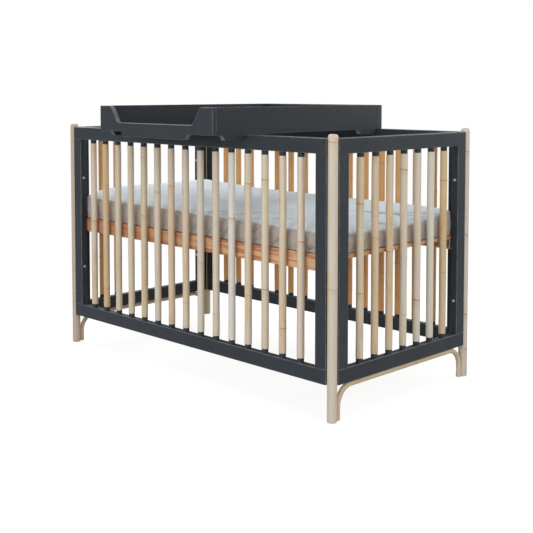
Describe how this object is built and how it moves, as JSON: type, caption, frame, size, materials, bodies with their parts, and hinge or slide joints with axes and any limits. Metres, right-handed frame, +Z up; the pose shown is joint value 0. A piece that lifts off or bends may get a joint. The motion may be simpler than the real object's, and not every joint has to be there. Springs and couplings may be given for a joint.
{
  "type": "convertible crib",
  "caption": "Cot bed with cane corner posts and bars in painted panels, bent-cane braces, a height-adjustable slatted base, a mattress and a changing tray laid across its top rails.",
  "frame": {"origin": "centre of the crib's four-post footprint, on the floor", "axes": "+X along the crib to its right end, -Y out of the front panel that the tray overhangs, +Z up"},
  "size_m": [1.4694, 0.9197, 1.0063],
  "materials": {
    "anthracite_paint": "satin paint over wood",
    "post_cane": "clear satin on natural cane",
    "bar_cane": "clear satin on natural cane",
    "brace_cane": "clear satin on bent natural cane",
    "base_pine": "planed pine",
    "beech_dowel": "plain beech",
    "zinc_steel": "zinc plated",
    "mattress_cover": "woven cover over foam"
  },
  "bodies": {
    "frame": {"post_left_front": "post_cane", "post_right_front": "post_cane", "post_left_back": "post_cane", "post_right_back": "post_cane", "front_top_rail": "anthracite_paint", "front_bottom_rail": "anthracite_paint", "front_left_stile": "anthracite_paint", "front_right_stile": "anthracite_paint", "front_bars": "bar_cane", "front_collars": "anthracite_paint", "back_top_rail": "anthracite_paint", "back_bottom_rail": "anthracite_paint", "back_left_stile": "anthracite_paint", "back_right_stile": "anthracite_paint", "back_bars": "bar_cane", "back_collars": "anthracite_paint", "left_top_rail": "anthracite_paint", "left_bottom_rail": "anthracite_paint", "left_front_stile": "anthracite_paint", "left_back_stile": "anthracite_paint", "left_bars": "bar_cane", "left_collars": "anthracite_paint", "right_top_rail": "anthracite_paint", "right_bottom_rail": "anthracite_paint", "right_front_stile": "anthracite_paint", "right_back_stile": "anthracite_paint", "right_bars": "bar_cane", "right_collars": "anthracite_paint", "left_brace": "brace_cane", "right_brace": "brace_cane", "brace_screws": "zinc_steel", "panel_bolts": "zinc_steel", "post_inserts": "zinc_steel", "stile_dowels": "beech_dowel", "height_inserts": "zinc_steel"},
    "slatted_base": {"base_front_rail": "base_pine", "base_back_rail": "base_pine", "base_slats": "base_pine", "base_ledgers": "base_pine", "slat_screws": "zinc_steel", "base_brackets": "zinc_steel", "bracket_screws": "zinc_steel", "bracket_bolts": "zinc_steel"},
    "mattress": {"mattress": "mattress_cover"},
    "changing_tray": {"tray_front_board": "anthracite_paint", "tray_back_board": "anthracite_paint", "tray_left_board": "anthracite_paint", "tray_right_board": "anthracite_paint", "tray_floor": "anthracite_paint", "tray_dowels": "beech_dowel"}
  },
  "joints": [
    {"name": "base_height", "type": "slide", "parent": "frame", "child": "slatted_base", "axis": [0, 0, 1], "range_m": [-0.25, 0]},
    {"name": "mattress_lift", "type": "slide", "parent": "slatted_base", "child": "mattress", "axis": [0, 0, 1], "range_m": [0, 0.24]},
    {"name": "tray_lift", "type": "slide", "parent": "frame", "child": "changing_tray", "axis": [0, 0, 1], "range_m": [0, 0.3]}
  ]
}
